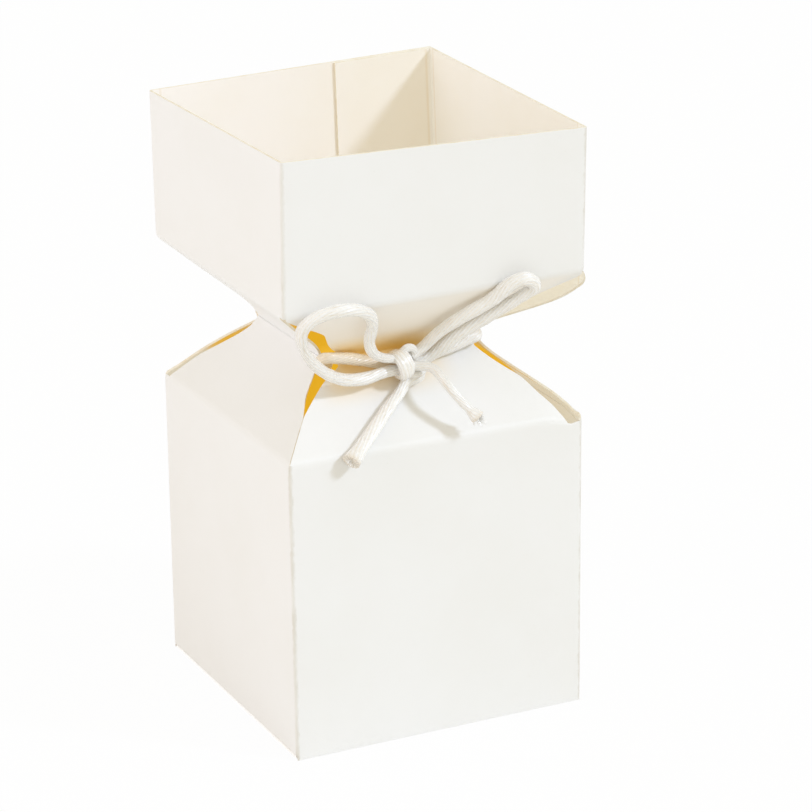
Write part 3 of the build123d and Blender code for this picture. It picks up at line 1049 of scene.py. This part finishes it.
def makeTapers():
    slope = sin(radians(45))
    length = carton["taperLength"]
    rows = spread(0, 4 * mm, 12) + spread(4 * mm, 17 * mm, 14) + spread(17 * mm, length, 12)
    levels = {
        "lower": (carton["wallTop"], acrossFront, Vector((0, slope, slope))),
        "upper": (carton["collarFold"], -acrossFront, Vector((0, slope, -slope))),
    }
    for level, (height, across, along) in levels.items():
        for side, turn in turns.items():
            name = side + "_" + level
            leftEdge, rightEdge = (taperEdges[each] for each in taperSides[name])
            lowEdge, highEdge = (leftEdge, rightEdge) if level == "lower" else (rightEdge, leftEdge)

            def edges(place, lowEdge=lowEdge, highEdge=highEdge):
                return -halfWidth(lowEdge, place), halfWidth(highEdge, place)
            panel = {
                "node": name + "_taper",
                "turn": turn,
                "origin": Vector((0, -carton["half"], height)),
                "across": across,
                "along": along,
                "length": length,
                "edges": edges,
                "sides": hips.get(name, (cutBorder(), cutBorder())),
                "ends": (foldRows(45, carton["foldRound"]), foldRows(90, carton["waistRound"], inward=True)),
                "columns": carton["columns"],
                "rows": rows,
            }
            if name in sways:
                panel["sway"] = sways[name]
            makePanel(side + level.title() + "Taper", panel)

makeTapers()

# Flaps: the glued laps inside the back right corner, and the tuck end that closes the base
flapShape = {
    "lapWidth": 22.5 * mm,
    "lapInset": 2.0 * mm,
    "lapSlant": 4.0 * mm,
    "lapTopGap": 0.15 * mm,
    "baseSideGap": 0.4 * mm,
    "tuckGap": 0.3 * mm,
    "tuckLength": 13.0 * mm,
    "tuckLean": 8.0,
    "tuckFoot": 30.25 * mm,
    "tuckTip": 27.25 * mm,
    "tuckRound": 3 * mm,
    "bendFrom": 0.6 * mm,  # heights on the tuck flap's crease, kept in its bend entry
    "bendTo": 5 * mm,
    "dustLength": 24.0 * mm,
    "dustFront": 18.75 * mm,
    "dustBack": 28.75 * mm,
    "dustSlant": 4.0 * mm,
}

def makeLap(name, node, body, bottom, top):
    half, board = carton["half"], carton["board"]
    width, slant = flapShape["lapWidth"], flapShape["lapSlant"]

    def edges(place):
        trim = slant * max(place, 0) / width
        return -(top - flapShape["lapTopGap"]), -(bottom + trim)
    makePanel(name, {
        "node": node,
        "body": body,
        "turn": 180,
        "origin": Vector((-half, board - half, 0)),
        "across": -upright,
        "along": acrossFront,
        "length": width,
        "edges": edges,
        "ends": (foldRows(90, carton["cornerRound"]), cutBorder()),
        "columns": 8,
        "rows": spread(0, width, 8),
    })

def makeBase(shape):
    half = carton["half"]
    reach = half - shape["baseSideGap"]
    length = 2 * half - carton["board"] - shape["tuckGap"]
    crease = half - length
    lean = radians(shape["tuckLean"])
    tall = shape["tuckLength"]
    tuckFold = foldRows(90 + shape["tuckLean"], carton["flapRound"])
    makePanel("basePanel", {
        "node": "base_flap",
        "origin": Vector((0, half, 0)),
        "along": Vector((0, -1, 0)),
        "length": length,
        "edges": steadyEdges(-reach, reach),
        "ends": (foldRows(90, carton["hingeRound"]), tuckFold),
        "columns": 14,
        "rows": spread(0, length, 14),
    })

    def tuckEdges(place):
        share = max(place, 0) / tall
        width = shape["tuckFoot"] + (shape["tuckTip"] - shape["tuckFoot"]) * share
        rounded = shape["tuckRound"]
        nearTip = clamp(place / rounded - tall / rounded + 1)
        width -= rounded * (1 - (1 - nearTip**2) ** 0.5)
        return -width, width
    makePanel("tuckPanel", {
        "node": "base_tuck_flap",
        "bend": {
            "from": "base_flap",
            "start": (0, crease, shape["bendFrom"]),
            "end": (0, crease, shape["bendTo"]),
        },
        "origin": Vector((0, crease, 0)),
        "along": Vector((0, sin(lean), cos(lean))),
        "length": tall,
        "edges": tuckEdges,
        "ends": (tuckFold, cutBorder()),
        "columns": 12,
        "rows": spread(0, 10 * mm, 6) + spread(10 * mm, tall, 9),
    })

def makeDustFlap(side, front, back, shape):
    length = shape["dustLength"]

    def edges(place):
        trim = shape["dustSlant"] * max(place, 0) / length
        return trim - front, back - trim
    makePanel("dustPanel" + side.title(), {
        "node": "dust_flap_" + side,
        "turn": turns[side],
        "origin": Vector((0, -carton["half"], carton["dustRise"])),
        "across": -acrossFront,
        "along": Vector((0, 1, 0)),
        "length": length,
        "edges": edges,
        "ends": (foldRows(90, carton["flapRound"]), cutBorder()),
        "columns": 10,
        "rows": spread(0, length, 10),
    })

def makeFlaps(shape):
    inset = shape["lapInset"]
    lowerSpan = (carton["dustRise"] + inset, carton["wallTop"] - inset)
    makeLap("lowerLap", "lower_glue_flap", "lower_box", *lowerSpan)
    makeLap("collarLap", "collar_glue_flap", "collar", carton["collarFold"] + inset, carton["top"])
    makeBase(shape)
    makeDustFlap("left", shape["dustFront"], shape["dustBack"], shape)
    makeDustFlap("right", shape["dustBack"], shape["dustFront"], shape)

makeFlaps(flapShape)
print("board folded")

# Floor and light
studio = {
    "floorSize": 6.0,
    "floorColour": (0.88, 0.875, 0.86),
    "floorGrain": (0.76, 0.755, 0.74),
    "floorWhite": 0.96,  # share of plain white that the camera sees on the floor
    "ambient": (1.0, 0.952, 0.803),
    "ambientStrength": 0.755,
}
lamps = {
    "keyLamp": {
        "kind": "SUN",
        "light": {"energy": 1.42, "color": (0.68, 0.79, 1.0), "angle": radians(8.0)},
        "place": (0, 0, 0),
        "aim": (-0.57, 0.58, -0.57),
    },
    "fillLamp": {
        "kind": "AREA",
        "light": {"energy": 3.7, "color": (0.87, 0.83, 1.0), "shape": "SQUARE", "size": 0.8},
        "place": (-1.1, -0.02, 0.32),
        "aim": (0, 0, 0.06),
    },
}

def seenDirectly(bench):
    ray = bench.node("ShaderNodeLightPath")
    direct = ray["Is Camera Ray"].atLeast(ray["Is Glossy Ray"])
    return direct.atLeast(ray["Is Transmission Ray"])

def makeFloor(settings):
    material, bench = newFinish("paleFloor", settings)
    grain = bench.ease(bench.noise(bench.objectPlace(), 60, 3), 0.3, 0.7) * 0.06
    tone = bench.mix(grain, settings["floorColour"], settings["floorGrain"])
    matt = bench.first("ShaderNodeBsdfDiffuse", {"Color": tone})
    white = bench.first("ShaderNodeEmission", {"Color": (1, 1, 1), "Strength": 1.0})
    share = seenDirectly(bench) * settings["floorWhite"]
    sockets = {"Fac": share, "Shader": matt, "Shader_001": white}
    bench.close(bench.first("ShaderNodeMixShader", sockets))
    size = settings["floorSize"] / 2
    corners = [(-size, -size, 0), (size, -size, 0), (size, size, 0), (-size, size, 0)]
    mesh = bpy.data.meshes.new("floor")
    mesh.from_pydata(corners, [], [(0, 1, 2, 3)])
    mesh.materials.append(material)
    linkObject("floor", mesh)

def makeWorld(settings):
    world = bpy.data.worlds.new("studio")
    scene.world = world
    world.use_nodes = True
    world.node_tree.nodes.clear()
    bench = Bench(world.node_tree)

    def background(colour, strength):
        sockets = {"Color": colour, "Strength": strength}
        return bench.first("ShaderNodeBackground", sockets)
    sockets = {
        "Fac": seenDirectly(bench),
        "Shader": background(settings["ambient"], settings["ambientStrength"]),
        "Shader_001": background((1, 1, 1), 1.0),
    }
    mixed = bench.first("ShaderNodeMixShader", sockets)
    bench.node("ShaderNodeOutputWorld", {"Surface": mixed})

def makeLamp(name, settings):
    light = bpy.data.lights.new(name, settings["kind"])
    for key, value in settings["light"].items():
        setattr(light, key, value)
    lamp = linkObject(name, light)
    lamp.location = settings["place"]
    back = Vector(settings["place"]) - Vector(settings["aim"])
    lamp.rotation_euler = back.to_track_quat("Z", "Y").to_euler()

makeFloor(studio)
makeWorld(studio)
for lampName, lampValues in lamps.items():
    makeLamp(lampName, lampValues)
scene.view_settings.view_transform = "Standard"
print("studio lit")
